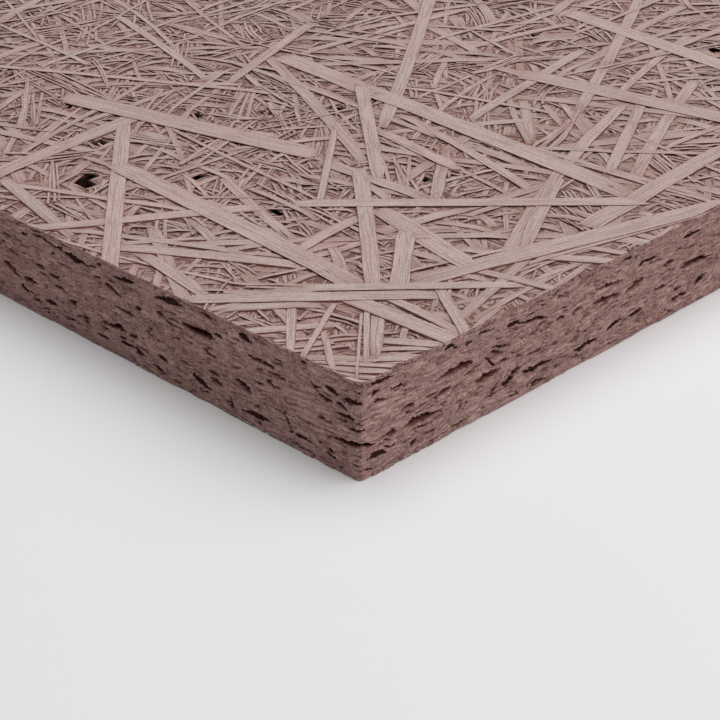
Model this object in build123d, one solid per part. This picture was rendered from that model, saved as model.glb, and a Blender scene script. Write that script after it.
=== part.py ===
from build123d import *
import math
import os
import random

# Wood wool board: long wood shavings coated in cement, pressed to a flat sheet and sawn square.
# Millimetres. Origin at the middle of the underside, +Z up through the thickness.

# Sheet
length = 600.0  # along X
width = 600.0  # along Y
thickness = 25.0
corner_radius = 1.5  # the four upright corners crumble to about this when the sheet is sawn
arris_radius = 0.6  # the long edges are square, with only the sharpness gone

# Slits that the saw opens in the edges, where the pressed shavings arch over each other
slit_pitch = 12.0  # average distance from one slit to the next along an edge
slit_length = 8.0
slit_height = 1.9
slit_depth = 3.5
slit_rim = 3.2  # solid band left above and below the slits
slit_tilt = 16.0  # largest lean out of the sheet's plane, degrees
slit_spread = 0.3  # how much one slit differs from the next, as a share of its size

# Pores in the two faces, open between shavings that cross
pore_pitch = 52.0
pore_length = 7.0
pore_width = 2.6
pore_depth = 3.0
pore_spread = 0.3
pore_rim = 12.0  # plain border kept along the sheet's outline

# Plain round at the middle of a face, and of each edge, where another piece bears or is glued
face_bearing = 40.0
edge_bearing = 20.0

shoulder = 0.5  # how far from its middle an opening keeps its height, as a share of half its length
skew = 0.25  # how far a shoulder strays from that, as a share of half the length
overrun = 1.0  # how far a cutter stands out of the surface it opens
seed = 11


def vary(rng, size, spread):
    """One size of a natural material: the average, more or less the spread."""
    return size * rng.uniform(1.0 - spread, 1.0 + spread)


def torn_opening(rng, long_axis, short_axis):
    """Gap between two shavings that part and meet again: a tip at each end, two shoulders a side."""
    half_long = long_axis / 2
    half_short = short_axis / 2

    def corner(share, side):
        stray = rng.uniform(-skew, skew)
        return ((share + stray) * half_long, side * half_short)

    outline = [
        (-half_long, 0.0),
        corner(-shoulder, 1),
        corner(shoulder, 1),
        (half_long, 0.0),
        corner(shoulder, -1),
        corner(-shoulder, -1),
    ]
    return make_face(Polyline(*outline, close=True))


def cutter(rng, plane, place, turn, long_axis, short_axis, depth):
    """Solid that makes one opening in the surface lying in the plane."""
    outline = torn_opening(rng, long_axis, short_axis)
    outline = plane * Pos(place[0], place[1], overrun) * Rot(0, 0, turn) * outline
    return extrude(outline, amount=-(depth + overrun), dir=plane.z_dir)


def edge_slits(rng, plane, edge_length):
    """Slits along one sawn edge: one to each pitch, at any height that leaves the rims whole."""
    count = int(edge_length // slit_pitch)
    step = edge_length / count
    cutters = []
    for i in range(count):
        along = (i + 0.5) * step - edge_length / 2
        long_axis = vary(rng, slit_length, slit_spread)
        short_axis = vary(rng, slit_height, slit_spread)
        depth = vary(rng, slit_depth, slit_spread)
        turn = rng.uniform(-slit_tilt, slit_tilt)
        reach = (long_axis * math.sin(math.radians(abs(turn))) + short_axis) / 2
        room = max(thickness / 2 - slit_rim - reach, 0.0)
        up = rng.uniform(-room, room)
        if abs(along) > (edge_bearing + long_axis) / 2:
            cutters.append(cutter(rng, plane, (along, up), turn, long_axis, short_axis, depth))
    return cutters


def face_pores(rng, plane):
    """Pores over one face: one to each square of the pitch, turned any way, clear of the border."""
    across = length - 2 * pore_rim
    down = width - 2 * pore_rim
    columns = int(across // pore_pitch)
    rows = int(down // pore_pitch)
    cutters = []
    for row in range(rows):
        for column in range(columns):
            long_axis = vary(rng, pore_length, pore_spread)
            short_axis = vary(rng, pore_width, pore_spread)
            depth = vary(rng, pore_depth, pore_spread)
            turn = rng.uniform(0.0, 180.0)
            play_x = max(across / columns - long_axis, 0.0) / 2
            play_y = max(down / rows - long_axis, 0.0) / 2
            x = (column + 0.5) * across / columns - across / 2 + rng.uniform(-play_x, play_x)
            y = (row + 0.5) * down / rows - down / 2 + rng.uniform(-play_y, play_y)
            if math.hypot(x, y) > (face_bearing + long_axis) / 2:
                cutters.append(cutter(rng, plane, (x, y), turn, long_axis, short_axis, depth))
    return cutters


def sheet():
    """The pressed sheet, sawn to size, before its open texture is cut."""
    blank = extrude(RectangleRounded(length, width, corner_radius), amount=thickness)
    arrises = blank.edges().group_by(Axis.Z)[0] + blank.edges().group_by(Axis.Z)[-1]
    return fillet(arrises, arris_radius)


def board():
    """The finished board: the sheet with the slits of its edges and the pores of its faces."""
    rng = random.Random(seed)
    middle = thickness / 2
    edges = [
        (Plane((length / 2, 0, middle), x_dir=(0, 1, 0), z_dir=(1, 0, 0)), width),
        (Plane((-length / 2, 0, middle), x_dir=(0, -1, 0), z_dir=(-1, 0, 0)), width),
        (Plane((0, width / 2, middle), x_dir=(-1, 0, 0), z_dir=(0, 1, 0)), length),
        (Plane((0, -width / 2, middle), x_dir=(1, 0, 0), z_dir=(0, -1, 0)), length),
    ]
    faces = [
        Plane((0, 0, thickness), x_dir=(1, 0, 0), z_dir=(0, 0, 1)),
        Plane((0, 0, 0), x_dir=(-1, 0, 0), z_dir=(0, 0, -1)),
    ]
    cutters = []
    for plane, edge_length in edges:
        cutters += edge_slits(rng, plane, edge_length)
    for plane in faces:
        cutters += face_pores(rng, plane)
    body = sheet() - cutters
    body.label = "board"
    return body


os.makedirs("parts", exist_ok=True)
finished = board()
export_step(finished, "parts/board.step")
print("board", finished.bounding_box().size, "volume", round(finished.volume), "mm3")
print("solids", len(finished.solids()), "faces", len(finished.faces()))
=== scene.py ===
# %% [markdown]
# # A wood wool board
# The board is a sheet of long wood shavings, coated in cement, pressed flat and sawn square.
# Its faces are a tangle of flat shavings and its edges are what the saw leaves: a grainy wall with
# slits where the shavings arch over each other. We make it the way the factory does: lay the
# shavings, press them and saw them off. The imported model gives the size, and nothing here changes it.

# %% Load the frame
import math
from collections import namedtuple
from functools import partial

import bmesh
import bpy
import numpy as np
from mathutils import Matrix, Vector
from numpy.lib.stride_tricks import sliding_window_view


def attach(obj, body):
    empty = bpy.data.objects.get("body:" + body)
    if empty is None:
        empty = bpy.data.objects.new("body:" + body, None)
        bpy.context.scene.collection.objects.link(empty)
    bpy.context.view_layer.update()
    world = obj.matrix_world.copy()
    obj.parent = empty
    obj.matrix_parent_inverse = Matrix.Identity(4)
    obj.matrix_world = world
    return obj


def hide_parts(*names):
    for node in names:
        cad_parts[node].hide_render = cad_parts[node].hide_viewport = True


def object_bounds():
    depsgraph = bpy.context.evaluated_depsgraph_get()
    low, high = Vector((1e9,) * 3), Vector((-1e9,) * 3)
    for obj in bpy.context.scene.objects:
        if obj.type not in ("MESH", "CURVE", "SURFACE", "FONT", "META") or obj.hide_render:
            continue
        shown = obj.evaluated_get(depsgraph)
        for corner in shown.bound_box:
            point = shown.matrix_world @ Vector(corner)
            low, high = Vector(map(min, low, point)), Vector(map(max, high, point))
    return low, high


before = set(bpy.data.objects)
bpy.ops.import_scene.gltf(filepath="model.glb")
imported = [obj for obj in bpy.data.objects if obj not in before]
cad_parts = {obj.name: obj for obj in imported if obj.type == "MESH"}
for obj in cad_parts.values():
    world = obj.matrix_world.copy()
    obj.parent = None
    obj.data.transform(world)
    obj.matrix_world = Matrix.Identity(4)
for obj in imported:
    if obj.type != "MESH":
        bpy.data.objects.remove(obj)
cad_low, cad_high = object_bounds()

MM = 0.001
HALF_X = cad_high.x / MM
HALF_Y = cad_high.y / MM
TOP = cad_high.z / MM
print("board", 2 * HALF_X, 2 * HALF_Y, TOP, "mm")


def add_object(name, data):
    """A new object at the origin, in the scene."""
    made = bpy.data.objects.new(name, data)
    bpy.context.scene.collection.objects.link(made)
    return made


# %% [markdown]
# ## Camera
# The picture is taken close to one corner with a long lens. Four values say where the camera is: the
# spot that it looks at, just inside the near corner, its angle round the board, its angle above the
# table and its distance. We make it first, because some shavings and slits are placed by what it sees.

# %% Camera
PICTURE = 720  # pixels each way
LENS = 100.0
SENSOR = 36.0
AIM_INSET = 7.7  # mm from both sides of the board
AIM = np.array([HALF_X - AIM_INSET, -HALF_Y + AIM_INSET, TOP])
AZIMUTH = math.radians(44.6)
ELEVATION = math.radians(28.6)
DISTANCE = 437.0  # mm

backward = np.array([
    math.sin(AZIMUTH) * math.cos(ELEVATION),
    -math.cos(AZIMUTH) * math.cos(ELEVATION),
    math.sin(ELEVATION),
])
rightward = np.array([math.cos(AZIMUTH), math.sin(AZIMUTH), 0.0])
upward = np.cross(backward, rightward)
eye = AIM + backward * DISTANCE

lens = bpy.data.cameras.new("camera")
lens.lens = LENS
lens.sensor_width = SENSOR
camera = add_object("camera", lens)
camera.location = Vector(eye * MM)
camera.rotation_euler = Vector(-backward).to_track_quat("-Z", "Y").to_euler()
bpy.context.scene.camera = camera
print("camera at", (eye * MM).round(4))

# %% A pixel of the picture, on a flat face of the board
FOCAL = LENS / SENSOR * PICTURE  # pixels
CORNER_PIXEL = (359.5, 384.5)  # where the picture shows the near corner of the upper face


def from_picture(px, py, face_point, face_normal):
    """Where the board's flat face shows at a pixel, in millimetres."""
    across = (px - PICTURE / 2) / FOCAL
    up = (PICTURE / 2 - py) / FOCAL
    ray = rightward * across + upward * up - backward
    face_normal = np.array(face_normal, float)
    far = (np.array(face_point, float) - eye) @ face_normal / (ray @ face_normal)
    return eye + ray * far


def on_top(px, py):
    return from_picture(px, py, (0, 0, TOP), (0, 0, 1))[:2]


print("near corner of the picture lies at", on_top(*CORNER_PIXEL).round(1))

# %% [markdown]
# ## Laying the shavings
# A shaving is a flat springy ribbon. On the press plate the first ones lie flat, and those are the
# ones that show. Each later one passes behind what is there already, sags into the gaps as far as its
# stiffness lets it, and shows only there. A physics engine could do this, but thousands of thin
# ribbons are slow and restless in it. A grid of half-millimetre cells that remembers how deep the mat
# is gives the same order of over and under in seconds, and every run gives the same mat.

# %% How one shaving bends
STEP = 1.0  # mm between the points where a shaving feels its bed
STIFFNESS = 0.7  # mm that a shaving bridges, and as much again for each mm of its width
EDGE_BAND = 0.6  # share of the breadth that holds up one long edge
TILT_MOST = 0.25  # mm, how much lower one side of a shaving may lie
TUCK_LENGTH = 6.0  # mm at each end that dips under the neighbours


def rest_line(bed, reach):
    """Depth of a springy shaving on an uneven bed: never above it, with no kink shorter than its reach."""
    window = 2 * reach + 1
    padded = np.pad(bed, 2 * reach, mode="edge")
    lowest = sliding_window_view(padded, window).max(axis=1)
    return sliding_window_view(lowest, window).mean(axis=1)


def long_edges(bed, width):
    """Depths of a shaving's two long edges, with no more tilt than it can take."""
    reach = max(1, int((STIFFNESS + STIFFNESS * width) / STEP))
    band = math.ceil(EDGE_BAND * bed.shape[1])
    left = rest_line(bed[:, :band].max(axis=1), reach)
    right = rest_line(bed[:, -band:].max(axis=1), reach)
    deeper = np.maximum(left, right)
    return np.maximum(left, deeper - TILT_MOST), np.maximum(right, deeper - TILT_MOST)


def tucked_ends(along):
    """How far each point of a shaving dips, from 1 at its ends to 0 where the tuck is over."""
    from_end = np.minimum(along - along[0], along[-1] - along)
    dip = np.clip(1 - from_end / TUCK_LENGTH, 0, 1)
    return dip * dip * (3 - 2 * dip)


def key_stations(line, tolerance, most):
    """The few points of a line that draw it to within the tolerance."""
    count = np.arange(len(line))
    picks = [0, len(line) - 1]
    while len(picks) < most:
        drawn = np.stack([np.interp(count, picks, line[picks, c]) for c in range(line.shape[1])], 1)
        off = np.abs(line - drawn).max(axis=1)
        worst = int(off.argmax())
        if off[worst] < tolerance:
            break
        picks = sorted(picks + [worst])
    return picks


# %% One face of the board while its shavings are laid
CELL = 0.5  # mm
OVERHANG = 30.0  # mm, shavings reach this far past the outline until they are sawn
AIR = 0.01  # mm between two shavings that cross
BED = 0.6  # mm below the face, where the fine stuff packed behind the shavings begins
DEEPEST = 0.56  # mm, a shaving that lies lower all along is left out because nobody sees it
TUCK = 0.35  # mm, how far a tucked end dips under its neighbours
HIDDEN_RUN = 3  # steps that a shaving runs on where others hide it
PLAN_FAULT = 0.22  # mm, how far a mesh may stray from a shaving's line
DEPTH_WEIGHT = 1.8  # a stray in depth counts this many times as much
SHOWN = 270.0  # mm from the near corner, as far as the picture shows
STATIONS_SHOWN = 8  # most points of a shaving that the picture shows
STATIONS_FAR = 5


def shown(spot):
    return math.hypot(spot[0] - HALF_X, spot[1] + HALF_Y) < SHOWN


class Mat:
    """Shavings on a press plate, with the depth of the mat's back in every cell."""

    def __init__(self):
        self.reach_x = HALF_X + OVERHANG
        self.reach_y = HALF_Y + OVERHANG
        shape = (int(2 * self.reach_y / CELL), int(2 * self.reach_x / CELL))
        self.back = np.zeros(shape, np.float32)
        self.covered = np.zeros(shape, bool)
        self.pore = np.zeros(shape, bool)
        self.pores = []
        self.ribbons = []

    def cells(self, x, y):
        column = np.clip(((x + self.reach_x) / CELL).astype(int), 0, self.back.shape[1] - 1)
        row = np.clip(((y + self.reach_y) / CELL).astype(int), 0, self.back.shape[0] - 1)
        return row, column

    def open_pore(self, x, y, radius_x, radius_y, turn):
        """A spot that no further shaving may cross, so that it stays a dark hole."""
        spread = np.arange(-max(radius_x, radius_y), max(radius_x, radius_y) + CELL, CELL)
        dx, dy = np.meshgrid(spread, spread)
        along = dx * math.cos(turn) + dy * math.sin(turn)
        across = dy * math.cos(turn) - dx * math.sin(turn)
        inside = (along / radius_x) ** 2 + (across / radius_y) ** 2 < 1
        self.pore[self.cells(x + dx[inside], y + dy[inside])] = True
        self.pores.append((x, y, radius_x, radius_y, turn))

    def trace(self, middle, heading, length, width, bow):
        """The line of a shaving that turns by bow from end to end, and the cells that it lies on."""
        steps = max(4, int(length / STEP))
        along = np.linspace(-0.5, 0.5, steps + 1) * length
        turn = heading + bow * along / length
        x = np.cumsum(np.cos(turn)) * length / steps
        y = np.cumsum(np.sin(turn)) * length / steps
        x += middle[0] - x[steps // 2]
        y += middle[1] - y[steps // 2]
        side = np.stack([-np.sin(turn), np.cos(turn)])
        offset = np.linspace(0.5, -0.5, max(2, math.ceil(width / CELL) + 1)) * width
        cells = self.cells(x[:, None] + side[0][:, None] * offset, y[:, None] + side[1][:, None] * offset)
        return along, x, y, side, cells

    def press(self, cells, left, right, thick, takes):
        """Keeps the depth of a shaving's back in the cells that it takes."""
        share = np.linspace(0.0, 1.0, cells[0].shape[1])
        depth = left[:, None] * (1 - share) + right[:, None] * share + thick + AIR
        taken = (cells[0][takes], cells[1][takes])
        self.back[taken] = np.maximum(self.back[taken], depth[takes])
        self.covered[taken] = True

    def lay(self, middle, headings, length, width, thick, bow, tone, least_new=0.0, start=0.0, tuck=False):
        """Lays a shaving behind the others, at the heading where most of it shows, if enough would."""
        tries = [self.trace(middle, heading, length, width, bow) for heading in headings]
        bare = [1.0 - self.covered[t[4]].mean() for t in tries]
        along, x, y, side, cells = tries[int(np.argmax(bare))]
        if least_new and (max(bare) < least_new or self.pore[cells].any()):
            return
        left, right = long_edges(np.maximum(self.back[cells], start), width)
        if np.maximum(left, right).min() > DEEPEST:
            return
        dip = tucked_ends(along) if tuck else np.zeros(len(x))
        left = left + dip * TUCK
        right = right + dip * TUCK
        seen = np.nonzero(~self.covered[cells].all(axis=1))[0]
        first = max(seen[0] - HIDDEN_RUN, 0)
        last = min(seen[-1] + HIDDEN_RUN, len(x) - 1)
        self.press(cells, left, right, thick, dip < 0.5)
        line = np.stack([x, y, left * DEPTH_WEIGHT, right * DEPTH_WEIGHT], 1)[first:last + 1]
        most = STATIONS_SHOWN if shown(middle) else STATIONS_FAR
        keep = first + np.array(key_stations(line, PLAN_FAULT, most))
        self.ribbons.append({
            "x": x[keep], "y": y[keep], "side_x": side[0][keep], "side_y": side[1][keep],
            "left": left[keep], "right": right[keep], "along": along[keep] - along[first],
            "width": width, "thick": thick, "tone": tone,
        })


# %% [markdown]
# ## The shavings that stand out
# In the picture some broad shavings near the corner catch the eye, and a few pores stay open between
# them. They are read from the picture: both ends and the breadth of each shaving, in its
# pixels, the topmost first, and the middle, breadth and height of each pore. from_picture() puts them
# on the board's face, so they lie in their real place and at their real size.

# %% Broad shavings and pores read from the picture
SEEN_SHAVINGS = [
    (310, 203, 620, 201, 8), (200, 298, 419, 294, 9), (322, 287, 500, 284, 7),
    (361, 175, 374, 283, 18), (362, 90, 377, 170, 15), (405, 237, 399, 283, 21),
    (382, 209, 459, 258, 17), (128, 170, 350, 280, 16), (425, 277, 720, 205, 14),
    (600, 218, 715, 152, 15), (527, 240, 553, 185, 15), (295, 60, 635, 195, 14),
    (538, 76, 720, 116, 11), (480, 112, 575, 54, 8), (578, 15, 720, 64, 10),
    (613, 165, 641, 105, 12), (123, 130, 109, 266, 18), (80, 100, 300, 150, 13),
    (8, 168, 130, 118, 10), (50, 226, 240, 208, 7), (122, 246, 285, 262, 8),
    (147, 256, 204, 293, 11), (5, 180, 60, 225, 12), (334, 135, 321, 198, 8),
    (432, 0, 388, 118, 14), (385, 133, 444, 161, 9), (444, 160, 437, 191, 14),
    (336, 165, 431, 199, 9), (338, 162, 388, 198, 7), (240, 74, 304, 28, 8),
    (352, 298, 450, 338, 13), (440, 288, 468, 335, 12), (332, 306, 303, 355, 6.5),
    (292, 314, 290, 351, 11), (240, 307, 335, 302, 7), (255, 330, 313, 325, 6),
    (367, 310, 366, 350, 7), (361, 317, 357, 366, 4), (378, 314, 376, 343, 15),
    (326, 340, 330, 357, 8), (336, 254, 347, 278, 12), (300, 248, 358, 216, 9),
    (316, 255, 358, 243, 5), (306, 356, 412, 358, 6), (312, 360, 401, 367, 4),
    (322, 366, 391, 371, 6), (332, 371, 383, 378, 4.5), (382, 339, 440, 344, 7),
    (379, 347, 435, 349, 4), (374, 350, 424, 357, 6), (345, 378, 372, 381, 4),
]
SEEN_PORES = [
    (85, 181, 24, 10), (99, 174, 9, 5), (98, 140, 9, 4), (200, 138, 8, 4), (138, 213, 8, 4),
    (200, 176, 9, 4), (261, 110, 7, 3), (375, 96, 7, 3), (428, 178, 8, 4), (275, 211, 12, 5),
    (341, 107, 7, 3),
]

# %% Lay them first
THICK_BROAD = 0.17  # mm
RUN_ON = 6.0  # mm that a shaving runs on under its neighbours, past each end that shows
SEEN_BOW = 0.03  # radians, how much such a shaving turns from end to end, more or less
SEEN_TONE = (0.45, 1.0)  # dullest and palest
SEEN_START = (0.0, 0.08)  # mm below the face
SEED = 7  # every run lays the same board

rng = np.random.default_rng(SEED)
upper = Mat()


def lay_seen_pore(px, py, wide, tall):
    spot = on_top(px, py)
    across = np.linalg.norm(on_top(px + wide / 2, py) - spot)
    ahead = np.linalg.norm(on_top(px, py - tall / 2) - spot)
    upper.open_pore(spot[0], spot[1], across, ahead, AZIMUTH)


def lay_seen_shaving(x0, y0, x1, y1, breadth):
    first = on_top(x0, y0)
    last = on_top(x1, y1)
    run = last - first
    length = float(np.linalg.norm(run))
    run /= length
    slope = math.atan2(y1 - y0, x1 - x0) + math.pi / 2
    lift = np.array([math.cos(slope), math.sin(slope)]) * breadth / 2
    centre = np.array([x0 + x1, y0 + y1]) / 2
    rim = on_top(*(centre + lift)) - on_top(*(centre - lift))
    width = abs(rim[0] * run[1] - rim[1] * run[0])
    upper.lay((first + last) / 2, [math.atan2(run[1], run[0])], length + 2 * RUN_ON, width, THICK_BROAD,
              rng.normal(0, SEEN_BOW), rng.uniform(*SEEN_TONE), start=rng.uniform(*SEEN_START), tuck=True)


for pore in SEEN_PORES:
    lay_seen_pore(*pore)
for shaving in SEEN_SHAVINGS:
    lay_seen_shaving(*shaving)
widths = [round(r["width"], 1) for r in upper.ribbons]
print(len(widths), "broad shavings placed, mm wide from", min(widths), "to", max(widths))

# %% [markdown]
# ## The rest of the face
# Wood wool is cut in a mix of widths. Broad shavings go on the plate first and make the pattern, then
# middling ones, and bundles of fine ones fill what is left, as they do when the machine's fine cuttings
# fall between the broad ones. Each is refused if hardly any of it would show. The last ones go where
# the grid still has bare cells, until only the pores are left.

# %% One shaving of each cut
THICK_FINE = 0.13  # mm
Cut = namedtuple("Cut", "length width thick bow tone start")  # ranges in mm, and bow in radians
BROAD = Cut((45, 130), (2.2, 4.2), THICK_BROAD, 0.12, (0.3, 1.0), (0.0, 0.12))
MIDDLING = Cut((25, 90), (1.2, 2.2), THICK_FINE, 0.2, (0.1, 1.0), (0.0, 0.18))
FINE = Cut((14, 48), (0.6, 1.3), THICK_FINE, 0.3, (0.0, 1.0), (0.0, 0.2))
BUNDLE = (2, 7)  # a bundle has at least two fine shavings, and fewer than seven
BUNDLE_ASIDE = (-2.0, 0.0)  # mm from the spot to the first one
BUNDLE_GAP = (0.0, 0.25)  # mm
BUNDLE_LENGTHS = (0.7, 1.1)  # each one's share of the bundle's length
BUNDLE_STRAY = 0.1  # share of its length that one slips ahead, and radians that its bow differs
BUNDLE_FAN = 0.08  # radians between their headings
TRIAL = (24, 3.0)  # mm, length and breadth that stand for a bundle while it seeks a heading


def headings(count):
    return rng.uniform(0, math.pi, count)


def lay_single(cut, mat, spot, least_new, tries=1):
    mat.lay(spot, headings(tries), rng.uniform(*cut.length), rng.uniform(*cut.width), cut.thick,
            rng.normal(0, cut.bow), rng.uniform(*cut.tone), least_new, start=rng.uniform(*cut.start),
            tuck=True)


lay_broad = partial(lay_single, BROAD)
lay_middling = partial(lay_single, MIDDLING)


def lay_bundle(mat, spot, least_new, tries=1):
    """Fine shavings from one cut lie side by side."""
    def bare_share(heading):
        return 1 - mat.covered[mat.trace(spot, heading, *TRIAL, 0)[4]].mean()

    heading = max(headings(tries), key=bare_share)
    length = rng.uniform(*FINE.length)
    bow = rng.normal(0, FINE.bow)
    place = rng.uniform(*BUNDLE_ASIDE)
    for strand in range(rng.integers(*BUNDLE)):
        width = rng.uniform(*FINE.width)
        aside = np.array([-math.sin(heading), math.cos(heading)]) * place
        ahead = np.array([math.cos(heading), math.sin(heading)]) * rng.normal(0, BUNDLE_STRAY) * length
        mat.lay(spot + aside + ahead, heading + rng.normal(0, BUNDLE_FAN, 2),
                length * rng.uniform(*BUNDLE_LENGTHS), width, FINE.thick, bow + rng.normal(0, BUNDLE_STRAY),
                rng.uniform(*FINE.tone), least_new, start=rng.uniform(*FINE.start))
        place += width + rng.uniform(*BUNDLE_GAP)


# %% Lay both faces
MARGIN = 12.0  # mm past the outline, where the middle of a shaving may still lie
PORES = 70  # on each face, besides those that were read
PORE_LONG = (0.7, 1.4)  # mm, half of a pore's length
PORE_SHORT = (0.4, 0.8)
BROAD_FIRST = 0.6  # below 1, broad shavings tend to come before the others
SHOWS_IN_MIX = 0.5  # least share of a shaving that lies bare when it is laid
SHOWS_IN_FILL = 0.4
SHOWS_IN_PICTURE = 0.3
BACKING = ((lay_middling, 0.2), (lay_broad, 0.12), (lay_broad, 0.06))  # and the least share that shows
PICTURE_SPOTS = 22000  # bare spots, where the picture's part of them gets one more bundle


def anywhere():
    return rng.uniform(-1, 1, 2) * (HALF_X + MARGIN, HALF_Y + MARGIN)


def bare_spots(mat, count):
    """Places where nothing lies yet, away from the pores."""
    rows, columns = np.nonzero(~mat.covered & ~mat.pore)
    pick = rng.integers(0, len(rows), count)
    x = (columns[pick] + 0.5) * CELL - mat.reach_x
    y = (rows[pick] + 0.5) * CELL - mat.reach_y
    inside = (np.abs(x) < HALF_X) & (np.abs(y) < HALF_Y)
    return np.stack([x, y], 1)[inside]


def random_pores(mat):
    for x, y in rng.uniform(-1, 1, (PORES, 2)) * (HALF_X, HALF_Y):
        mat.open_pore(x, y, rng.uniform(*PORE_LONG), rng.uniform(*PORE_SHORT), rng.uniform(0, math.pi))


def print_cover(mat, what):
    edge = int(OVERHANG / CELL)
    print(what, len(mat.ribbons), "covering", round(mat.covered[edge:-edge, edge:-edge].mean(), 3))


def lay_face(mat, broad, middling, bundles, fills, backing):
    """Lays a face: a mix in front, fine ones in the gaps, and broad ones behind them all."""
    random_pores(mat)
    queue = [lay_broad] * broad + [lay_middling] * middling + [lay_bundle] * bundles
    rank = rng.uniform(0, 1, len(queue))
    rank[:broad] *= BROAD_FIRST
    for place in np.argsort(rank):
        queue[place](mat, anywhere(), SHOWS_IN_MIX)
    print_cover(mat, "mix")
    for spot in bare_spots(mat, fills):
        lay_bundle(mat, spot, SHOWS_IN_FILL, tries=4)
    print_cover(mat, "with fine ones")
    for lay_one, least_new in BACKING:
        for spot in bare_spots(mat, backing):
            lay_one(mat, spot, least_new, tries=3)
    print_cover(mat, "with the backing")


lay_face(upper, broad=1800, middling=5000, bundles=3000, fills=2500, backing=1500)
for spot in bare_spots(upper, PICTURE_SPOTS):
    if shown(spot):
        lay_bundle(upper, spot, SHOWS_IN_PICTURE, tries=4)
print_cover(upper, "with more in the picture")
lower = Mat()
lay_face(lower, broad=1100, middling=700, bundles=100, fills=100, backing=250)

# %% [markdown]
# ## From lines to ribbons
# Each shaving is a closed flat bar: four corners at every station, walls between the stations and a cap
# at each end. A curve with a bevel would draw one, but there are thousands, so they are made as one
# joined mesh from arrays. Two UV maps go with it: one runs along and round each shaving in millimetres
# and carries the grain, and one lays all the shavings out side by side on a square, where their
# colours can be baked.

# %% A place for each shaving on the square
BAKE_SPARE = 0.3  # mm between two shavings on the square
BAKE_SLACK = 1.04  # how much larger than its shavings the square is


def shelf(sizes):
    """Lays rectangles on shelves in a square: the corner of each, and the square's side."""
    order = np.argsort(-sizes[:, 1])
    side = math.sqrt(((sizes[:, 0] + BAKE_SPARE) * (sizes[:, 1] + BAKE_SPARE)).sum() * BAKE_SLACK)
    corner = np.zeros_like(sizes)
    x = y = tall = 0.0
    for i in order:
        if x + sizes[i, 0] > side:
            x, y, tall = 0.0, y + tall + BAKE_SPARE, 0.0
        corner[i] = (x, y)
        x += sizes[i, 0] + BAKE_SPARE
        tall = max(tall, sizes[i, 1])
    return corner, max(side, y + tall)


def bake_places(ribbons):
    """Gives each shaving its own place on the square where colours are baked."""
    sizes = np.array([[r["along"][-1], 2 * (r["width"] + r["thick"])] for r in ribbons])
    corner, side = shelf(sizes)
    for r, place in zip(ribbons, corner):
        r["place"] = place
    return side


# %% The points, walls and map of one shaving
CORNER = 1.5  # mm, upright corners of the board, which crumble
WAVER = 0.18  # how far a shaving's long edges stray inwards, as a share of half its width
END_WIDTH = (0.55, 1.0)  # share of its width that an end keeps
END_SLANT = 0.35  # how far an end is cut askew, as a share of the width
SAWN_BACK = 0.25  # mm that a shaving reaches into the bed where it will be sawn
SECTION = ((1, 0), (-1, 0), (-1, 1), (1, 1))  # corners of a bar: its left or right, its front or back


def sticks_out(r):
    """True for a shaving that the saw may meet."""
    room = r["width"] + CORNER
    return np.abs(r["x"]).max() > HALF_X - room or np.abs(r["y"]).max() > HALF_Y - room


def bar_points(r, face_z, up):
    """Four corners at each station of a shaving, with edges that waver and ends cut askew.
    A bar that will be sawn reaches down to the bed, so that its cut end leaves no hollow."""
    to_saw = sticks_out(r)
    count = len(r["x"])
    half = r["width"] / 2 * (1.0 - WAVER * rng.uniform(0.0, 1.0, (2, count)) ** 2)
    half[:, [0, -1]] *= rng.uniform(*END_WIDTH, 2)
    slant = rng.uniform(-END_SLANT, END_SLANT, 2) * r["width"]
    ring = np.empty((count, 4, 3))
    for corner, (hand, drop) in enumerate(SECTION):
        depth = (r["left"] if hand > 0 else r["right"]) + drop * r["thick"]
        if to_saw and drop:
            depth = np.maximum(depth, BED + SAWN_BACK)
        aside = hand * half[0 if hand > 0 else 1]
        ring[:, corner, 0] = r["x"] + aside * r["side_x"]
        ring[:, corner, 1] = r["y"] + aside * r["side_y"]
        ring[:, corner, 2] = face_z - up * depth
        for end in (0, -1):
            ring[end, corner, 0] += hand * slant[end] * r["side_y"][end]
            ring[end, corner, 1] -= hand * slant[end] * r["side_x"][end]
    return ring.reshape(-1, 3)


def bar_faces(base, count):
    """The walls between a bar's stations, and a cap at each end."""
    station = base + 4 * np.arange(count - 1)[:, None]
    here = station + np.arange(4)
    beside = station + (np.arange(4) + 1) % 4
    walls = np.stack([here, beside, beside + 4, here + 4], -1).reshape(-1, 4)
    last = base + 4 * (count - 1)
    caps = [[base + 3, base + 2, base + 1, base], [last, last + 1, last + 2, last + 3]]
    return np.concatenate([walls, np.array(caps)])


def bar_map(r):
    """The same faces laid out flat, in millimetres along the bar and round it."""
    w, t, s = r["width"], r["thick"], r["along"]
    around = np.array([0, w, w + t, 2 * w + t, 2 * w + 2 * t])
    walls = np.empty((len(s) - 1, 4, 4, 2))
    walls[:, :, 0, 0] = walls[:, :, 1, 0] = s[:-1, None]
    walls[:, :, 2, 0] = walls[:, :, 3, 0] = s[1:, None]
    walls[:, :, 0, 1] = walls[:, :, 3, 1] = around[:-1]
    walls[:, :, 1, 1] = walls[:, :, 2, 1] = around[1:]
    caps = np.array([[(s[0] + t, 0), (s[0] + t, w), (s[0], w), (s[0], 0)],
                     [(s[-1], 0), (s[-1], w), (s[-1] - t, w), (s[-1] - t, 0)]])
    return np.concatenate([walls.reshape(-1, 4, 2), caps])


# %% Joined mesh of many shavings
GRAIN_SPREAD = 500  # mm, so that no two shavings show the same stretch of grain
MAPS = ("Grain", "OFBake")
LABELS = ("tone", "aside", "breadth")


def set_values(mesh, label, values):
    """Gives each point of a mesh a number that its finish can read."""
    data = mesh.attributes.new(label, "FLOAT", "POINT").data
    data.foreach_set("value", values.astype(np.float32).ravel())


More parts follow.
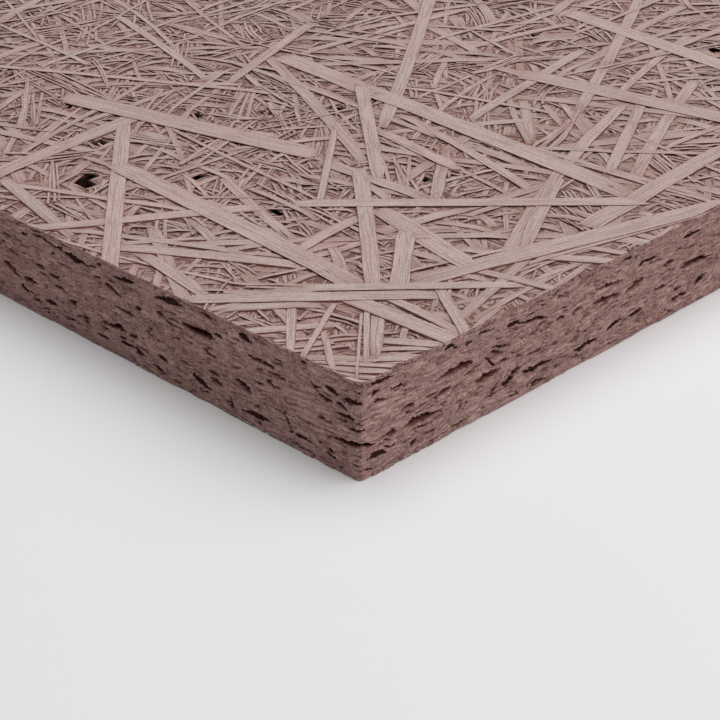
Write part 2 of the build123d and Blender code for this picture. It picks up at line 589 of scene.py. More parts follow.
def shaving_mesh(name, ribbons, square, face_z, up):
    """One mesh of closed bars, from the lines that laying left. up is 1 for the upper face, else -1."""
    parts = {key: [] for key in ("points", "faces", *MAPS, *LABELS)}
    base = 0
    for r in ribbons:
        count = len(r["x"])
        layout = bar_map(r)
        parts["points"].append(bar_points(r, face_z, up))
        parts["faces"].append(bar_faces(base, count))
        parts["Grain"].append(layout + rng.uniform(0, GRAIN_SPREAD, 2))
        parts["OFBake"].append((layout + r["place"]) / square)
        parts["tone"].append(np.full(count * 4, r["tone"]))
        # aside and breadth tell the finish where a shaving's long edges are, for its painted edge shade
        parts["aside"].append(np.tile([hand * r["width"] / 2 for hand, drop in SECTION], count))
        parts["breadth"].append(np.full(count * 4, r["width"] / 2))
        base += 4 * count
    parts = {key: np.concatenate(values) for key, values in parts.items()}
    mesh = bpy.data.meshes.new(name)
    mesh.from_pydata(parts["points"] * MM, [], parts["faces"][:, ::up])
    for key in MAPS:
        layout = parts[key][:, ::up].astype(np.float32)
        mesh.uv_layers.new(name=key).data.foreach_set("uv", layout.reshape(-1))
    for key in LABELS:
        set_values(mesh, key, parts[key])
    return mesh


# %% [markdown]
# ## Sawing
# The press leaves shavings sticking out past the outline, and the saw takes them off. bisect_plane does
# the same: one cut a side, and one across each upright corner, which crumbles on the real board. The
# cut leaves hollow ends, so holes_fill closes them, and each new end takes its colour from the
# shaving that it belongs to. Some ends chip, so they are pushed back a little behind the cut.

# %% The cuts, and what becomes of the ends
SAWN_SLOT = 1  # material of what the saw cut, after the shavings' own
CUT_FAULT = 1e-7  # m
CORNER_CUT = 0.6  # share of the corner's radius that the cut across it takes off each side
CHIP = 0.9  # mm, how far an end that chipped lies behind the cut
CHIP_ROOM = 0.8  # share of the last stretch of its bar that an end may give up
CAP_LEAN = 0.3  # share of the way to a wall's middle, for an end's corner that the wall lacks


def saw_planes():
    for x, y in ((1, 0), (-1, 0), (0, 1), (0, -1)):
        yield Vector((x * HALF_X, y * HALF_Y, 0)) * MM, Vector((x, y, 0))
    for x in (-1, 1):
        for y in (-1, 1):
            point = Vector((x * (HALF_X - CORNER * CORNER_CUT), y * HALF_Y, 0)) * MM
            yield point, Vector((x, y, 0)).normalized()


def open_edges(bm):
    return [e for e in bm.edges if e.is_boundary]


def saw(bm):
    """Cuts the shavings off at the outline and closes them: the plain ends, and those round a corner."""
    for point, normal in saw_planes():
        geom = bm.verts[:] + bm.edges[:] + bm.faces[:]
        bmesh.ops.bisect_plane(bm, geom=geom, dist=CUT_FAULT, plane_co=point, plane_no=normal,
                               clear_outer=True)
    plain = bmesh.ops.holes_fill(bm, edges=open_edges(bm), sides=0)["faces"]
    bent = bmesh.ops.edgeloop_fill(bm, edges=open_edges(bm))["faces"]
    return plain, bent


def map_end(end, layer):
    """Lays a new end on a UV map over the largest wall that it closes."""
    walls = [f for e in end.edges for f in e.link_faces if f is not end]
    wall = max(walls, key=lambda f: f.calc_area())
    middle = sum((l[layer].uv for l in wall.loops), Vector((0, 0))) / len(wall.loops)
    shared = {l.vert: l[layer].uv.copy() for l in wall.loops}
    spots = [shared.get(l.vert) for l in end.loops]
    known = [s for s in spots if s is not None]
    for i, (loop, spot) in enumerate(zip(end.loops, spots)):
        loop[layer].uv = spot if spot is not None else known[i % len(known)].lerp(middle, CAP_LEAN)


def chip(end):
    """Pushes an end back behind the cut, as far as its bar has room."""
    end.normal_update()
    rim = set(end.edges)
    bar_sides = [v.co - e.other_vert(v).co for v in end.verts for e in v.link_edges if e not in rim]
    room = min(side.dot(end.normal) for side in bar_sides)
    back = end.normal * min(rng.uniform(0.0, 1.0) ** 2 * CHIP * MM, max(CHIP_ROOM * room, 0.0))
    for v in end.verts:
        v.co -= back


# %% Saw the shavings of both faces
CRISP_SHAVING = 40  # degrees, an edge that bends more is drawn crisp
QUARTERS = {"near_left": (-1, -1), "near_right": (1, -1), "far_left": (-1, 1), "far_right": (1, 1)}


def soften(mesh, crisp):
    mesh.polygons.foreach_set("use_smooth", np.ones(len(mesh.polygons), bool))
    mesh.set_sharp_from_angle(angle=math.radians(crisp))


def add_piece(name, mesh, *what):
    print(name, *what, len(mesh.loops) - 2 * len(mesh.polygons), "triangles")
    return add_object(name, mesh)


def sawn_shavings(name, ribbons, face_z, up):
    """The joined mesh, cut off at the outline, with closed ends and crisp long edges."""
    square = bake_places(ribbons)
    bm = bmesh.new()
    bm.from_mesh(shaving_mesh(name, [r for r in ribbons if sticks_out(r)], square, face_z, up))
    plain, bent = saw(bm)
    for layer in bm.loops.layers.uv.values():
        for end in plain + bent:
            map_end(end, layer)
    for end in plain + bent:
        end.material_index = SAWN_SLOT
    for end in plain:
        chip(end)
    bm.from_mesh(shaving_mesh(name, [r for r in ribbons if not sticks_out(r)], square, face_z, up))
    mesh = bpy.data.meshes.new(name)
    bm.to_mesh(mesh)
    bm.free()
    soften(mesh, CRISP_SHAVING)
    return add_piece(name, mesh, len(ribbons), "shavings")


def in_quarter(r, sign_x, sign_y):
    """True for a shaving whose middle lies in this quarter of the face."""
    middle = len(r["x"]) // 2
    return (r["x"][middle] >= 0) == (sign_x > 0) and (r["y"][middle] >= 0) == (sign_y > 0)


shavings = []
for label, signs in QUARTERS.items():
    quarter = [r for r in upper.ribbons if in_quarter(r, *signs)]
    shavings.append(sawn_shavings("shavings_top_" + label, quarter, TOP, 1))
shavings.append(sawn_shavings("shavings_under", lower.ribbons, 0.0, -1))

# %% [markdown]
# ## The sawn edge
# The saw leaves a wall that is flat as a whole. Up close it shows the pressed layers: cut shavings, each
# a little proud or a little back, that arch over the slits between them. Cutting every slit with a
# Boolean would be slow and leave ragged faces. So we unroll the wall and draw it as a map of depths
# first, and make the mesh from the map at the end.

# %% The outline of the board
RIM = 0.2  # mm that the sawn wall ends below the upper face, and above the lower one
RIM_LOW = RIM
RIM_HIGH = TOP - RIM
SIDE_X = 2 * (HALF_X - CORNER)
SIDE_Y = 2 * (HALF_Y - CORNER)
ARC = CORNER * math.pi / 2
AROUND = 2 * (SIDE_X + SIDE_Y) + 4 * ARC
NEAR_CORNER = SIDE_X + ARC / 2  # distance along the outline from the near left corner
SEAM = 1e-6  # mm, so that rounding leaves no gap where the outline closes
print("outline", round(AROUND, 1), "mm round")


def outline(u):
    """Point and outward direction at a distance along the rounded outline, from the near left corner."""
    u = u % AROUND
    x = np.zeros_like(u)
    y = np.zeros_like(u)
    out = np.zeros_like(u)
    start = 0.0
    for side, (length, angle) in enumerate(((SIDE_X, -90), (SIDE_Y, 0), (SIDE_X, 90), (SIDE_Y, 180))):
        angle = math.radians(angle)
        along = np.array([-math.sin(angle), math.cos(angle)])
        face = np.array([math.cos(angle), math.sin(angle)]) * (HALF_Y, HALF_X)[side % 2]
        here = (u >= start) & (u < start + length)
        x[here] = face[0] + along[0] * (u[here] - start - length / 2)
        y[here] = face[1] + along[1] * (u[here] - start - length / 2)
        out[here] = angle
        start += length
        here = (u >= start) & (u <= start + ARC + SEAM)
        out[here] = angle + (u[here] - start) / CORNER
        pivot = face * (1 - CORNER / (HALF_Y, HALF_X)[side % 2]) + along * length / 2
        x[here] = pivot[0] + CORNER * np.cos(out[here])
        y[here] = pivot[1] + CORNER * np.sin(out[here])
        start += ARC
    return x, y, np.cos(out), np.sin(out)


# %% [markdown]
# ## A map of the edge
# On the map, u runs along the outline and v up the edge. Each cell keeps how far the saw's wall lies
# back there, how pale it is, which layer it belongs to and whether it is cut across or along its
# fibres. A cut shaving is a flat pillow with a groove round it. A slit is a lens that tapers to both
# ends, and its floor leans in under its upper lip, as it does where a shaving hangs over the gap.

# %% Noise for torn outlines
def smooth_noise(shape, cells):
    """Even noise from 0 to 1 that changes over about this many cells each way."""
    coarse = [max(2, round(n / c)) for n, c in zip(shape, cells)]
    dots = rng.uniform(0, 1, (coarse[0] + 1, coarse[1] + 1))
    along = np.linspace(0, coarse[0] - 0.001, shape[0])
    up = np.linspace(0, coarse[1] - 0.001, shape[1])
    a, b = along.astype(int), up.astype(int)
    fa = (along - a)[:, None]
    fb = (up - b)[None, :]
    fa, fb = fa * fa * (3 - 2 * fa), fb * fb * (3 - 2 * fb)
    low = dots[np.ix_(a, b)] * (1 - fa) + dots[np.ix_(a + 1, b)] * fa
    high = dots[np.ix_(a, b + 1)] * (1 - fa) + dots[np.ix_(a + 1, b + 1)] * fa
    return low * (1 - fb) + high * fb


# %% A map of one stretch of the edge
FLAT = 0.12  # mm that the wall lies behind the outline, as a whole
GROOVE = 0.32  # mm wide, round a cut shaving
GROOVE_DEPTH = 0.38
PILLOW = 0.24  # mm that the rim of a cut shaving lies behind its middle
ARCH = 1.6  # mm over which the layers round a slit get flat again
LIP = 0.3  # mm that even the lower lip of a slit lies back
LEAN = 1.6  # how steeply a slit's floor falls away from its lower lip
WINDOW_SPARE = 0.7  # mm round a lens that its torn outline may reach
ARRIS_LOW = 0.35  # mm of room for a slit at the lower arris
ARRIS_HIGH = 0.1
ARRIS_FALL = 0.9  # mm of depth for each mm of room
END_FALL = 2.0  # mm of depth for each mm from the end of a stretch
TONE_PATCH = (4, 1)  # mm along and up
RAGGED_PATCH = (0.8, 0.8)
LONG_SWAY = (18, 9, 2.4)  # of the layers: mm along, mm up and mm high
SHORT_SWAY = (6, 4, 0.9)
LONG_WOBBLE = (2.4, 2, 0.7)  # of torn outlines, in the same way
SHORT_WOBBLE = (0.8, 0.8, 0.3)
CUT_WOBBLE = 0.5  # share of the wobble that a cut shaving's outline has
SLIT_WOBBLE = 0.8
CUT_TIP = 0.01  # mm, half the height at the tip of a cut shaving
SLIT_TIP = 0.001
PEAK_STRAY = 0.6  # how far from its middle a slit is widest, as a share of half its length
TORN_LEAST = 0.75  # share of its height that a slit keeps where it is least torn
TORN_MORE = 0.6  # and what it has more where it is most torn
ARCH_LONGER = 1.3  # length of an arch, where its slit is 1
ARCH_SPAN = 3  # times ARCH, how far above and below a slit the bend is drawn
ARCH_ONSET = 0.3  # mm from a slit's middle line to the full bend


class EdgeMap:
    """Depth, tone and layering of a stretch of the sawn edge: u is millimetres along, v is up."""

    def __init__(self, start, length, cell):
        self.cell = cell
        self.u = np.linspace(start, start + length, round(length / cell) + 1)
        self.v = np.linspace(RIM_LOW, RIM_HIGH, round((RIM_HIGH - RIM_LOW) / cell) + 1)
        shape = (len(self.u), len(self.v))
        self.depth = np.full(shape, FLAT)
        self.fibrous = np.zeros(shape)
        self.tone = self.noise(*TONE_PATCH)
        self.layer = self.v + self.sway(*LONG_SWAY) + self.sway(*SHORT_SWAY)
        self.ragged = self.noise(*RAGGED_PATCH)
        self.wobble = self.sway(*LONG_WOBBLE)
        self.wobble += self.sway(*SHORT_WOBBLE)

    def noise(self, along, up):
        """Noise that changes over these millimetres."""
        return smooth_noise((len(self.u), len(self.v)), (along / self.cell, up / self.cell))

    def sway(self, along, up, height):
        """The same as millimetres up and down, this high in all."""
        return (self.noise(along, up) - 0.5) * height

    def window(self, u, v, length, height, slope):
        """The cells about a lens: their place along it, from -1 to 1, and millimetres above it."""
        half = length / 2
        reach = height / 2 + abs(slope) * half + WINDOW_SPARE
        columns = slice(*np.searchsorted(self.u, (u - half, u + half)))
        rows = slice(*np.searchsorted(self.v, (v - reach, v + reach)))
        along = (self.u[columns, None] - u) / half
        return (columns, rows), along, self.v[rows] - v - slope * along * half

    def cut_shaving(self, u, v, length, height, slope, depth, tone, fibrous):
        """The cut end or flank of a shaving: a flat pillow with a groove round it."""
        where, along, above = self.window(u, v, length, height, slope)
        half = height / 2 * (1 - along ** 4) + CUT_TIP
        off = np.abs(above + CUT_WOBBLE * self.wobble[where])
        inside = off < half
        groove = off < half + GROOVE
        here = self.depth[where]
        here[groove] = np.maximum(here, depth + GROOVE_DEPTH * self.ragged[where])[groove]
        here[inside] = (depth + PILLOW * (off / half) ** 3)[inside]
        self.tone[where][inside] = tone
        self.fibrous[where][inside] = fibrous

    def flank(self, u, v, length, height, slope, depth, tone):
        """A shaving that the saw met lengthwise: smooth, with its grain along it."""
        where, along, above = self.window(u, v, length, height, slope)
        self.cut_shaving(u, v, length, height, slope, depth, tone, 1.0)
        inside = np.abs(above) < height / 2
        self.layer[where][inside] = (above + v)[inside]

    def arch_over(self, u, v, length, height, slope):
        """Bends the layers above a slit up and those below it down."""
        where, along, above = self.window(u, v, length * ARCH_LONGER, height + 2 * ARCH_SPAN * ARCH, slope)
        push = height / 2 * np.clip(1 - along ** 2, 0, 1) * np.exp(-np.abs(above) / ARCH)
        self.layer[where] -= push * np.tanh(above / ARCH_ONSET)

    def settle(self):
        """Draws the flat layers where the bent ones lie."""
        step = self.v[1] - self.v[0]
        row = np.clip((self.layer - RIM_LOW) / step, 0, len(self.v) - 1.001)
        low = row.astype(int)
        column = np.arange(len(self.u))[:, None]
        share = row - low
        self.depth = self.depth[column, low] * (1 - share) + self.depth[column, low + 1] * share
        nearest = np.rint(row).astype(int)
        self.tone = self.tone[column, nearest]
        self.fibrous = self.fibrous[column, nearest]

    def slit(self, u, v, length, height, slope, depth):
        """A slit that leans in from its lower lip to its upper one, as a shaving hangs over it."""
        where, along, above = self.window(u, v, length, height, slope)
        peak = rng.uniform(-PEAK_STRAY, PEAK_STRAY)
        taper = np.abs(along - peak) / (1 + np.where(along < peak, peak, -peak))
        torn = TORN_LEAST + TORN_MORE * self.ragged[where]
        half = height / 2 * np.clip(1 - taper ** 2, 0, 1) * torn + SLIT_TIP
        above = above + SLIT_WOBBLE * self.wobble[where]
        inside = np.abs(above) < half
        lean = np.clip(above / half * LEAN + LEAN, 0, 1)
        here = self.depth[where]
        here[inside] = np.maximum(here, LIP + depth * lean)[inside]

    def trim(self):
        """Keeps the arrises whole, and both ends of the stretch flat where the next one butts."""
        room = np.minimum(self.v - RIM_LOW + ARRIS_LOW, RIM_HIGH - self.v + ARRIS_HIGH)
        self.depth = np.minimum(self.depth, FLAT + ARRIS_FALL * room)
        ends = np.minimum(self.u - self.u[0], self.u[-1] - self.u)
        self.depth = np.minimum(self.depth, FLAT + END_FALL * ends[:, None])


# %% [markdown]
# ## The layers
# Sawn wood wool shows its shavings end on, as short lenses, and now and then lengthwise, as a long thin
# one. As pieces of their own they would hide each other by thousands, but on the map each is one stroke
# over the last. They are drawn flat until the wall is full of them, with fine cracks between. The
# stretch round the near corner has a finer map, because the picture shows it close up.

# %% The layers of both stretches
NEAR_REACH = 150.0  # mm each way from the near corner: what the picture shows of the edges
NEAR_CELL = 0.31  # mm
FAR_CELL = 0.6
LENGTHWISE = 0.25  # share of the shavings that are cut along their fibres
LONG_CUT = ((8, 24), (0.5, 1.1))  # mm, lengths and heights of those
CROSS_CUT = ((2.5, 8), (0.7, 2.0))  # and of the others
CUT_SLOPE = 0.08
CUT_DEPTH = (0.0, 0.35)  # mm
CRACK_LENGTH = (1.5, 6)
CRACK_HEIGHT = (0.35, 0.6)
CRACK_SLOPE = 0.12
CRACK_DEPTH = (0.4, 1.5)

near_edge = EdgeMap(NEAR_CORNER - NEAR_REACH, 2 * NEAR_REACH, NEAR_CELL)
far_edge = EdgeMap(NEAR_CORNER + NEAR_REACH, AROUND - 2 * NEAR_REACH, FAR_CELL)


def somewhere(edge):
    return rng.uniform(edge.u[0], edge.u[-1]), rng.uniform(RIM_LOW, RIM_HIGH)


def lay_layers(edge, cuts_per_mm, cracks_per_mm):
    """Cut shavings in each other's way, some of them cut lengthwise, and cracks between the layers."""
    stretch = edge.u[-1] - edge.u[0]
    for cut in range(int(stretch * cuts_per_mm)):
        lengthwise = rng.uniform() < LENGTHWISE
        lengths, heights = LONG_CUT if lengthwise else CROSS_CUT
        edge.cut_shaving(*somewhere(edge), rng.uniform(*lengths), rng.uniform(*heights),
                         rng.normal(0, CUT_SLOPE), rng.uniform(*CUT_DEPTH), rng.uniform(0, 1),
                         float(lengthwise))
    for crack in range(int(stretch * cracks_per_mm)):
        edge.slit(*somewhere(edge), rng.uniform(*CRACK_LENGTH), rng.uniform(*CRACK_HEIGHT),
                  rng.normal(0, CRACK_SLOPE), rng.uniform(*CRACK_DEPTH))


lay_layers(near_edge, cuts_per_mm=10.0, cracks_per_mm=1.0)
lay_layers(far_edge, cuts_per_mm=7.0, cracks_per_mm=0.5)
print("layers drawn on", near_edge.depth.shape, "and", far_edge.depth.shape, "cells")

# %% [markdown]
# ## Slits and long cuts in their real places
# The larger slits give the edge its look, so those in the picture are read from it: both ends
# and the height of each, in its pixels, on the left and the right side of the corner. So are the long
# smooth shavings by the corner that the saw met lengthwise.

# %% Slits and lengthwise shavings read from the picture
SLITS_LEFT = [
    (63, 253, 86, 266, 4), (4, 263, 17, 276, 6), (36, 265, 43, 269, 4), (50, 275, 58, 278, 2.5),
    (24, 278, 36, 284, 4), (21, 287, 27, 292, 5), (55, 287, 62, 289, 2), (46, 302, 57, 306, 3),
    (70, 303, 75, 307, 3.5), (113, 277, 131, 283, 4), (104, 285, 118, 296, 2.5), (115, 307, 132, 316, 3),
    (135, 308, 140, 311, 3.5), (157, 299, 178, 305, 6), (156, 313, 164, 319, 4), (183, 325, 212, 339, 6),
    (214, 335, 220, 338, 3), (107, 324, 122, 330, 5), (121, 342, 133, 348, 3), (129, 335, 137, 338, 3),
    (136, 353, 142, 355, 2.5), (158, 356, 165, 362, 4), (154, 366, 162, 373, 4), (193, 376, 210, 390, 6),
    (210, 377, 219, 385, 3), (230, 400, 234, 412, 3.5), (282, 411, 290, 431, 5), (296, 436, 308, 442, 4),
    (309, 382, 315, 390, 4), (319, 396, 330, 403, 2.5), (325, 389, 337, 396, 5), (336, 404, 344, 410, 4),
    (344, 400, 362, 407, 4), (337, 414, 352, 420, 3.5), (350, 430, 362, 434, 3), (335, 439, 358, 448, 5),
    (238, 336, 249, 343, 5), (135, 349, 143, 356, 4), (236, 380, 249, 392, 7), (243, 411, 266, 421, 4),
    (249, 357, 274, 369, 3), (266, 382, 274, 388, 3), (307, 451, 314, 457, 3), (166, 322, 174, 326, 2.5),
    (318, 417, 331, 425, 2.5), (204, 352, 214, 358, 3), (33, 234, 64, 253, 1.8),
]
SLITS_RIGHT = [
    (370, 386, 391, 378, 4), (374, 396, 380, 390, 4), (377, 402, 387, 399, 3), (390, 390, 405, 385, 2),
    (403, 411, 414, 405, 3), (407, 426, 439, 412, 7), (371, 459, 386, 452, 6), (391, 436, 395, 432, 4),
    (412, 446, 417, 440, 5), (435, 399, 450, 389, 4), (447, 351, 452, 347, 4), (468, 346, 473, 343, 3),
    (494, 349, 510, 345, 2), (442, 378, 471, 364, 8), (487, 359, 494, 365, 3), (494, 366, 509, 359, 3),
    (481, 381, 500, 370, 8), (505, 385, 519, 370, 7), (509, 327, 520, 322, 4), (520, 324, 546, 318, 3),
    (527, 372, 550, 362, 4), (530, 355, 541, 351, 2), (532, 387, 544, 380, 5), (575, 314, 582, 308, 5),
    (578, 350, 596, 340, 5), (595, 304, 618, 295, 4), (599, 290, 618, 283, 3), (609, 329, 622, 320, 5),
    (628, 291, 644, 280, 6), (630, 317, 641, 310, 4), (641, 264, 656, 258, 3), (656, 290, 667, 286, 3),
    (665, 266, 674, 262, 4), (676, 290, 681, 287, 3), (682, 268, 711, 255, 6), (687, 237, 702, 230, 3),
    (697, 284, 706, 274, 5), (360, 448, 375, 445, 3), (559, 320, 565, 317, 3), (492, 396, 498, 384, 4),
    (453, 428, 463, 425, 3), (459, 412, 462, 404, 2.5), (464, 410, 468, 402, 2.5), (509, 398, 518, 394, 3),
]
FLANKS_LEFT = [
    (252, 385, 275, 392, 4), (280, 388, 315, 399, 4), (282, 394, 323, 409, 4), (284, 400, 336, 416, 4),
    (287, 406, 330, 422, 4), (291, 412, 323, 427, 4), (314, 420, 357, 433, 4), (319, 427, 354, 437, 3),
    (296, 399, 318, 407, 3), (300, 424, 332, 436, 4),
]
FLANKS_RIGHT = [
    (371, 409, 407, 396, 4), (370, 415, 417, 396, 4), (372, 420, 402, 409, 4), (384, 399, 406, 391, 3),
    (383, 392, 407, 383, 3), (364, 388, 368, 407, 5), (456, 400, 452, 427, 6), (507, 356, 495, 387, 4),
    (509, 362, 502, 383, 3), (463, 383, 499, 370, 5), (461, 414, 515, 393, 4), (363, 428, 380, 421, 4),
]

# %% From the picture to the map
UPRIGHT = math.cos(ELEVATION)  # how much shorter an upright line looks from the camera
STEEPEST = 4.0  # slope past which a mark is drawn no steeper
SLIT_STRETCH = 1.15  # a slit's thin tips don't show, so it is longer than it looks
SLIT_TIPS = 0.6  # mm, and this much more
SLIT_GAPE = 1.1
NEAR_DEPTH = (1.8, 3.2)  # mm
FLANK_DEPTH = (0.0, 0.2)  # mm
FLANK_TONE = (0.8, 1.0)


def on_the_edge(left, right):
    """Marks from the two sides of the picture in millimetres: middle, length, height and slope."""
    sides = ((left, (0, -HALF_Y, 0), (0, -1, 0), lambda p: p[0] + SIDE_X / 2),
             (right, (HALF_X, 0, 0), (1, 0, 0), lambda p: p[1] + SIDE_Y / 2 + SIDE_X + ARC))
    for marks, face_point, face_normal, place_along in sides:
        for x0, y0, x1, y1, breadth in marks:
            ends = [from_picture(x, y, face_point, face_normal) for x, y in ((x0, y0), (x1, y1))]
            scale = np.linalg.norm(ends[0] - eye) / FOCAL
            (u0, v0), (u1, v1) = [(place_along(e), e[2]) for e in ends]
            slope = np.clip((v1 - v0) / (u1 - u0), -STEEPEST, STEEPEST)
            length = max(abs(u1 - u0), abs(v1 - v0) / STEEPEST)
            yield (u0 + u1) / 2, (v0 + v1) / 2, length, breadth * scale / UPRIGHT, slope


near_slits = []
for u, v, length, height, slope in on_the_edge(SLITS_LEFT, SLITS_RIGHT):
    longer = length * SLIT_STRETCH + SLIT_TIPS
    near_slits.append((u, v, longer, height * SLIT_GAPE, slope, rng.uniform(*NEAR_DEPTH)))
near_flanks = []
for u, v, length, height, slope in on_the_edge(FLANKS_LEFT, FLANKS_RIGHT):
    upright = height * math.hypot(1.0, slope)
    near_flanks.append((u, v, length, upright, slope, rng.uniform(*FLANK_DEPTH), rng.uniform(*FLANK_TONE)))
print(len(near_slits), "slits and", len(near_flanks), "lengthwise shavings placed")

# %% [markdown]
# ## The other slits, and the finished maps
# The edges that the picture doesn't show get slits of the same kind by chance: many short ones and a
# few long ones, nearly level, as the press leaves them. On both maps the layers are then bent round
# the slits, and the slits are cut last, so that they stay open.

# %% Cut the slits
FAR_SLITS = 1150
SHORTEST = 1.5  # mm
LENGTH_SHAPE, LENGTH_SCALE = 2.0, 1.6  # of the gamma spread of lengths past the shortest
HEIGHT_LEAST, HEIGHT_SHARE, HEIGHT_MOST = 0.6, 0.15, 1.9  # mm, share of the length, and mm
HEIGHT_SPREAD = (0.7, 1.3)
FAR_SLOPE = 0.2
FAR_DEPTH = (2.0, 4.0)  # mm

far_slits = []
for slit in range(FAR_SLITS):
    u, v = somewhere(far_edge)
    length = SHORTEST + rng.gamma(LENGTH_SHAPE, LENGTH_SCALE)
    height = min(HEIGHT_LEAST + HEIGHT_SHARE * length, HEIGHT_MOST) * rng.uniform(*HEIGHT_SPREAD)
    far_slits.append((u, v, length, height, rng.normal(0, FAR_SLOPE), rng.uniform(*FAR_DEPTH)))

for edge, slits, flanks in ((near_edge, near_slits, near_flanks), (far_edge, far_slits, [])):
    for u, v, length, height, slope, depth in slits:
        edge.arch_over(u, v, length, height, slope)
    edge.settle()
    for flank in flanks:
        edge.flank(*flank)
    for slit in slits:
        edge.slit(*slit)
    edge.trim()
    print("edge map", edge.depth.shape, "deepest", edge.depth.max().round(2), "mm, open share",
          (edge.depth > 1).mean().round(3))

# %% [markdown]
# ## From a map to a closed bar
# Each map becomes the front of a bar that follows the outline: the sawn wall, a step over each rim
# under the shavings, and a back wall inside the board, so that no side is open. A Displace modifier
# could push a plain wall in, but the map gives each point at once. The far stretch is long and never
# seen close up, so Decimate takes out the faces that its flat parts can spare.

# %% The mesh of a bar
RIM_STEPS = ((0.5, 0.12), (0.9, 0.7), (6.5, 1.1))  # mm inwards, and mm past the rim
HIDDEN_STRIP = 0.6  # mm on the bake square, for the walls inside the board
RIM_STRIPS = (HIDDEN_STRIP, 0.7, 0.5)  # mm on it for the steps, from inside the board outwards


def edge_mesh(name, edge):
    """The sawn wall with a step over each rim, a back wall and two ends."""
    columns = len(edge.u)
    steps = np.array(RIM_STEPS)
    under = steps[::-1]
    heights = np.concatenate([RIM_LOW + under[:, 1], edge.v, RIM_HIGH - steps[:, 1]])
    rims = [np.tile(part[:, 0], (columns, 1)) for part in (under, steps)]
    inwards = np.concatenate([rims[0], edge.depth, rims[1]], 1)
    x, y, out_x, out_y = [part[:, None] for part in outline(edge.u)]
    nudge = np.minimum(inwards, CORNER / 2)
    x = np.clip(x - out_x * nudge, inwards - HALF_X, HALF_X - inwards)
    y = np.clip(y - out_y * nudge, inwards - HALF_Y, HALF_Y - inwards)
    points = np.stack([x, y, np.tile(heights, (columns, 1))], -1).reshape(-1, 3)
    ring = len(heights)
    start = ring * np.arange(columns - 1)[:, None]
    here = start + np.arange(ring)
    above = start + (np.arange(ring) + 1) % ring
    walls = np.stack([here, here + ring, above + ring, above], -1).reshape(-1, 4).tolist()
    last = ring * (columns - 1)
    ends = [list(range(ring)), list(range(last + ring - 1, last - 1, -1))]
    mesh = bpy.data.meshes.new(name)
    mesh.from_pydata(points * MM, [], walls + ends)
    return mesh


def unrolled_rows(edge):
    """How far round the bar each row of its points lies, in millimetres."""
    strips = np.concatenate([[0], np.cumsum(RIM_STRIPS)])
    wall = strips[-1] + edge.v
    return np.concatenate([strips[:-1], wall, wall[-1] + strips[1:]])


def label_points(mesh, edge, unrolled):
    """Gives each point its place on the bar, and what the map says there."""
    rows = np.clip(np.arange(len(unrolled)) - len(RIM_STEPS), 0, len(edge.v) - 1)
    set_values(mesh, "along", np.tile(edge.u[:, None], len(unrolled)))
    set_values(mesh, "unrolled", np.tile(unrolled, (len(edge.u), 1)))
    set_values(mesh, "layer", edge.layer[:, rows])
    set_values(mesh, "tone", edge.tone[:, rows])
    set_values(mesh, "fibrous", edge.fibrous[:, rows])


# %% Points that fall together, and faces that can be spared
SAME_POINT = 0.001  # mm


def merge_points(mesh):
    """Joins the points that meet inside the corners."""
    bm = bmesh.new()
    bm.from_mesh(mesh)
    bmesh.ops.remove_doubles(bm, verts=bm.verts, dist=SAME_POINT * MM)
    bm.to_mesh(mesh)
    bm.free()


def thinned(name, mesh, keep):
    """The mesh with this share of its faces, without loose flaps, and nowhere past the outline."""
    dense = add_object(name, mesh)
    thin_out = dense.modifiers.new("thin_out", "DECIMATE")
    thin_out.ratio = keep
    mesh = bpy.data.meshes.new_from_object(dense.evaluated_get(bpy.context.evaluated_depsgraph_get()))
    bpy.data.objects.remove(dense)
    mesh.name = name
    bm = bmesh.new()
    bm.from_mesh(mesh)
    flaps = [f for f in bm.faces if any(e.is_boundary for e in f.edges)]
    bmesh.ops.delete(bm, geom=flaps, context="FACES")
    for v in bm.verts:
        v.co.x = max(-HALF_X * MM, min(HALF_X * MM, v.co.x))
        v.co.y = max(-HALF_Y * MM, min(HALF_Y * MM, v.co.y))
    bm.to_mesh(mesh)
    bm.free()
    return mesh


# %% The bars, laid out flat for the bake
ROW_SPARE = 0.5  # mm between two rows on the bake square
END_SPARE = 1.0  # mm before and after a row
CRISP_EDGE = 60  # degrees
FAR_KEEP = 0.36  # share of the far stretch's faces


def point_values(mesh, label):
    values = np.empty(len(mesh.vertices), np.float32)
    mesh.attributes[label].data.foreach_get("value", values)
    return values


def bake_rows(mesh, height):
    """Lays a bar's walls out flat in rows on a square, where its colours can be baked."""
    corner = np.empty(len(mesh.loops), np.int32)
    mesh.loops.foreach_get("vertex_index", corner)
    count = np.empty(len(mesh.polygons), np.int32)
    mesh.polygons.foreach_get("loop_total", count)
    owner = np.repeat(np.arange(len(count)), count)
    first = np.cumsum(count) - count
    along = point_values(mesh, "along")[corner]
    up = point_values(mesh, "unrolled")[corner]
    along -= along.min()
    span = np.maximum.reduceat(up, first) - np.minimum.reduceat(up, first)
    back_wall = (span[owner] > height / 2) & (up < 1)
    up[back_wall] = height
    rows = max(1, round(math.sqrt(along.max() / height)))
    length = along.max() / rows
    row = np.minimum((np.add.reduceat(along, first) / count // length).astype(int), rows - 1)[owner]
    side = max(length + 2 * END_SPARE, rows * (height + ROW_SPARE))
    layout = np.stack([along - row * length + END_SPARE, row * (height + ROW_SPARE) + up], 1) / side
    layout = np.clip(layout, 0, 1).astype(np.float32)
    mesh.uv_layers.new(name="OFBake").data.foreach_set("uv", layout.ravel())


def edge_bar(name, edge, keep=1.0):
    """One stretch of the sawn edge as a closed bar, with this share of its faces."""
    mesh = edge_mesh(name, edge)
    unrolled = unrolled_rows(edge)
    label_points(mesh, edge, unrolled)
    merge_points(mesh)
    if keep < 1:
        mesh = thinned(name, mesh, keep)
    soften(mesh, CRISP_EDGE)
    bake_rows(mesh, unrolled[-1] + HIDDEN_STRIP)
    return add_piece(name, mesh)


